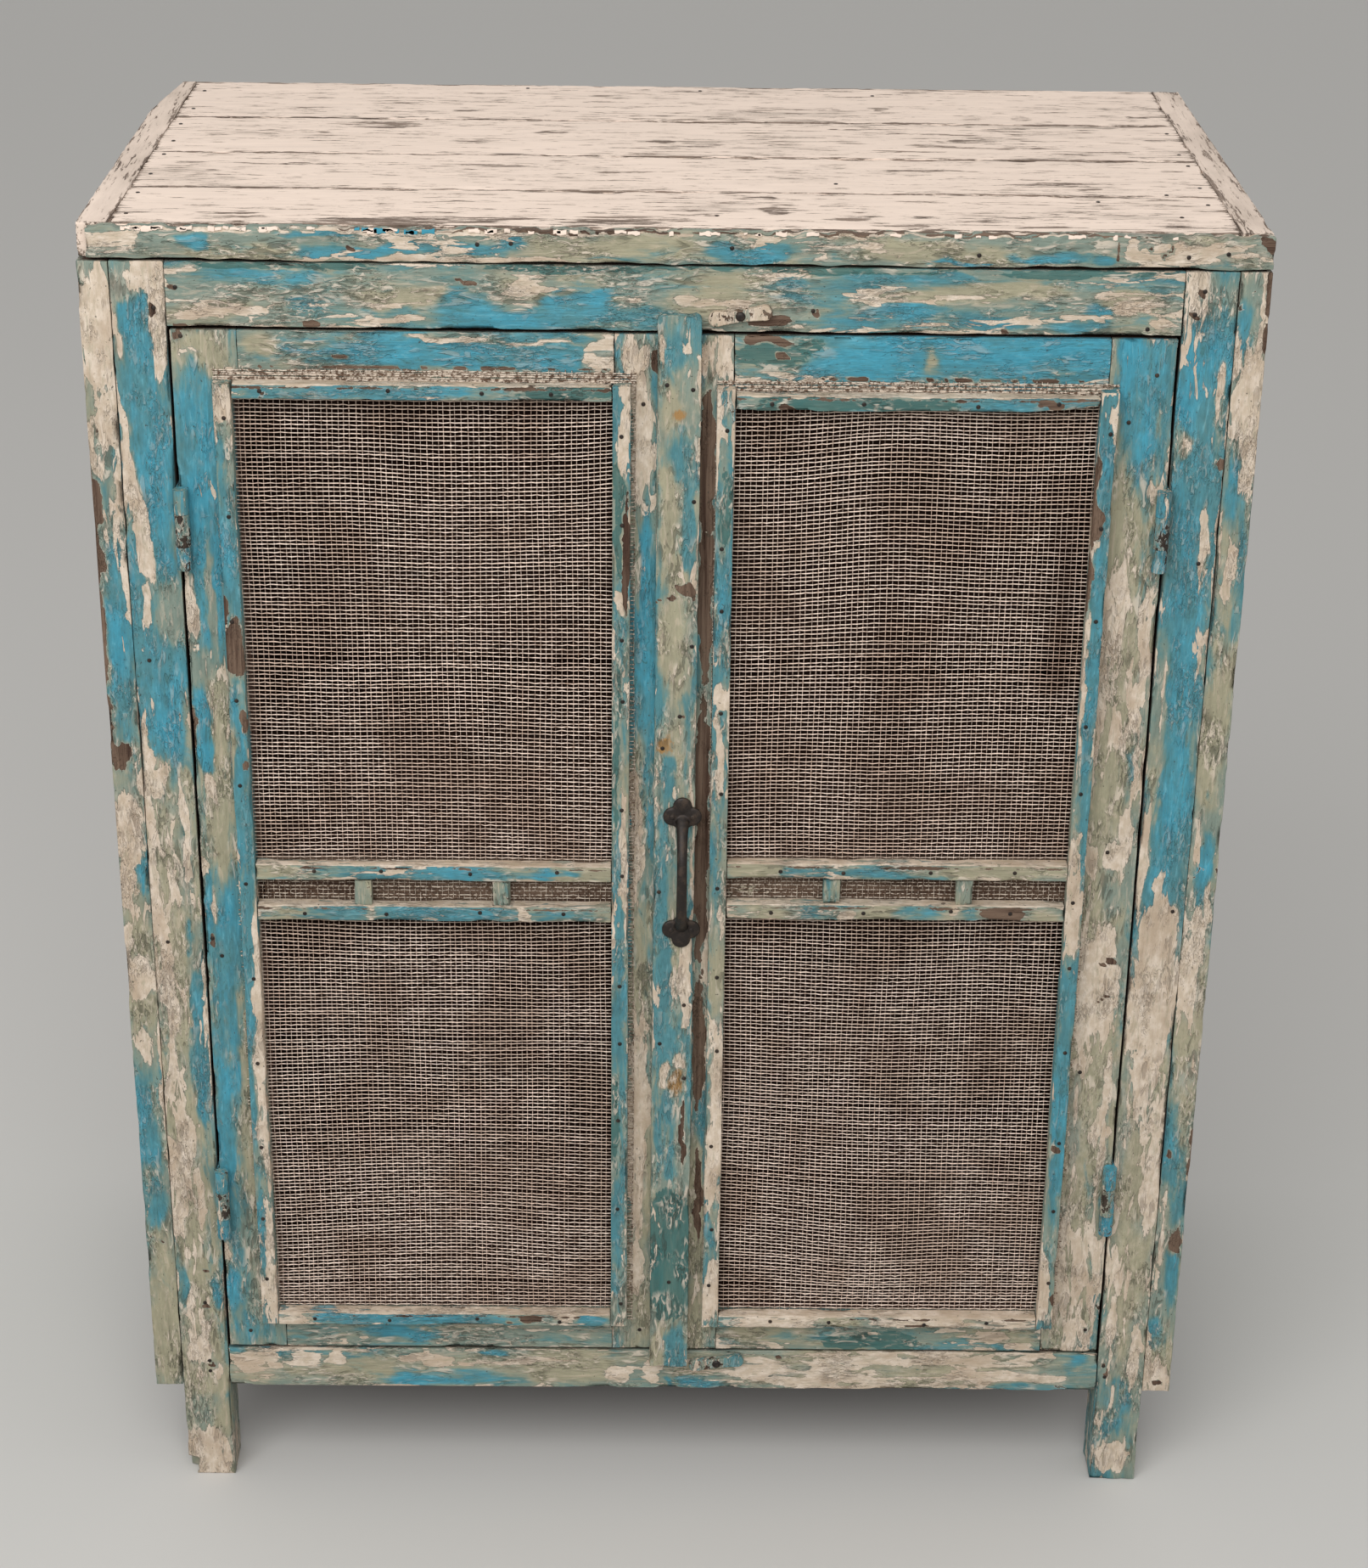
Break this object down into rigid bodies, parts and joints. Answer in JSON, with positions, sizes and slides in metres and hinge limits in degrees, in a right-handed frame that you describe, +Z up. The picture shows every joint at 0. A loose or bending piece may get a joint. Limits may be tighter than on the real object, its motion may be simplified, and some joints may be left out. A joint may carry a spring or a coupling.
{
  "type": "jelly cupboard",
  "caption": "Free-standing food cupboard with netted double doors, a plank top, an inner shelf, an iron pull and turn buttons, in flaking paint on wood.",
  "frame": {"origin": "centre of the footprint on the floor, the pull included", "axes": "+Z up, the doors face -Y, +X to the right seen from the front"},
  "size_m": [1, 0.6006, 1.27],
  "materials": {
    "case_paint": "Boards under two layers of blue-green and grey-green paint, flaked to a pinkish undercoat and to brown wood.",
    "door_paint": "Turquoise paint, flaked to sage green, cream undercoat and brown wood at the edges.",
    "bead_paint": "Narrow battens in turquoise and sage paint with nail holes and bare arrises.",
    "strip_paint": "Sage and turquoise paint over cream, darker towards the floor.",
    "whitewashed_wood": "Worn whitewash, pinkish, with dark open grain.",
    "bare_wood": "Unpainted, aged brown boards.",
    "netting": "Open plain-weave netting, stiff with pale pink-tan paint.",
    "cast_iron": "Dark brown-black cast iron, rubbed brighter on the grip.",
    "hinge_iron": "Iron under old paint, rusty where the paint is gone.",
    "turn_button_paint": "Small waisted bars with worn cream and green paint."
  },
  "bodies": {
    "case": {"front_left_post": "case_paint", "front_right_post": "case_paint", "back_left_post": "case_paint", "back_right_post": "case_paint", "front_top_rail": "case_paint", "front_bottom_rail": "case_paint", "left_side": "case_paint", "right_side": "case_paint", "back_panel": "bare_wood", "floor_boards": "bare_wood", "shelf": "bare_wood", "left_floor_ledger": "bare_wood", "right_floor_ledger": "bare_wood", "left_shelf_ledger": "bare_wood", "right_shelf_ledger": "bare_wood", "top_board_1": "whitewashed_wood", "top_board_2": "whitewashed_wood", "top_board_3": "whitewashed_wood", "top_board_4": "whitewashed_wood", "top_left_cleat": "whitewashed_wood", "top_right_cleat": "whitewashed_wood", "top_front_lath": "case_paint", "left_upper_hinge_frame_leaf": "hinge_iron", "left_lower_hinge_frame_leaf": "hinge_iron", "right_upper_hinge_frame_leaf": "hinge_iron", "right_lower_hinge_frame_leaf": "hinge_iron"},
    "right_door": {"right_door_hinge_stile": "door_paint", "right_door_meeting_stile": "door_paint", "right_door_top_rail": "door_paint", "right_door_mid_rail": "door_paint", "right_door_bottom_rail": "door_paint", "right_door_net": "netting", "right_door_hinge_bead": "bead_paint", "right_door_meeting_bead": "bead_paint", "right_door_top_bead": "bead_paint", "right_door_bottom_bead": "bead_paint", "right_door_upper_batten": "bead_paint", "right_door_lower_batten": "bead_paint", "right_upper_hinge_door_leaf": "hinge_iron", "right_lower_hinge_door_leaf": "hinge_iron", "cover_strip": "strip_paint", "pull_handle": "cast_iron"},
    "left_door": {"left_door_hinge_stile": "door_paint", "left_door_meeting_stile": "door_paint", "left_door_top_rail": "door_paint", "left_door_mid_rail": "door_paint", "left_door_bottom_rail": "door_paint", "left_door_net": "netting", "left_door_hinge_bead": "bead_paint", "left_door_meeting_bead": "bead_paint", "left_door_top_bead": "bead_paint", "left_door_bottom_bead": "bead_paint", "left_door_upper_batten": "bead_paint", "left_door_lower_batten": "bead_paint", "left_upper_hinge_door_leaf": "hinge_iron", "left_lower_hinge_door_leaf": "hinge_iron"},
    "top_turn_button": {"top_turn_button": "turn_button_paint"},
    "bottom_turn_button": {"bottom_turn_button": "turn_button_paint"}
  },
  "joints": [
    {"name": "right_door_hinge", "type": "hinge", "parent": "case", "child": "right_door", "pos_m": [0.4225, -0.2612, 0.6725], "axis": [0, 0, 1], "range_deg": [0, 110]},
    {"name": "left_door_hinge", "type": "hinge", "parent": "case", "child": "left_door", "pos_m": [-0.4225, -0.2612, 0.664], "axis": [0, 0, -1], "range_deg": [0, 110]},
    {"name": "top_turn_button_pivot", "type": "hinge", "parent": "case", "child": "top_turn_button", "pos_m": [0.055, -0.2577, 1.1995], "axis": [0, 1, 0], "range_deg": [-90, 90]},
    {"name": "bottom_turn_button_pivot", "type": "hinge", "parent": "case", "child": "bottom_turn_button", "pos_m": [0.0515, -0.2577, 0.141], "axis": [0, 1, 0], "range_deg": [-90, 90]}
  ],
  "couplings": [
    {"joint": "left_door_hinge", "follows": "right_door_hinge", "ratio": 1}
  ]
}
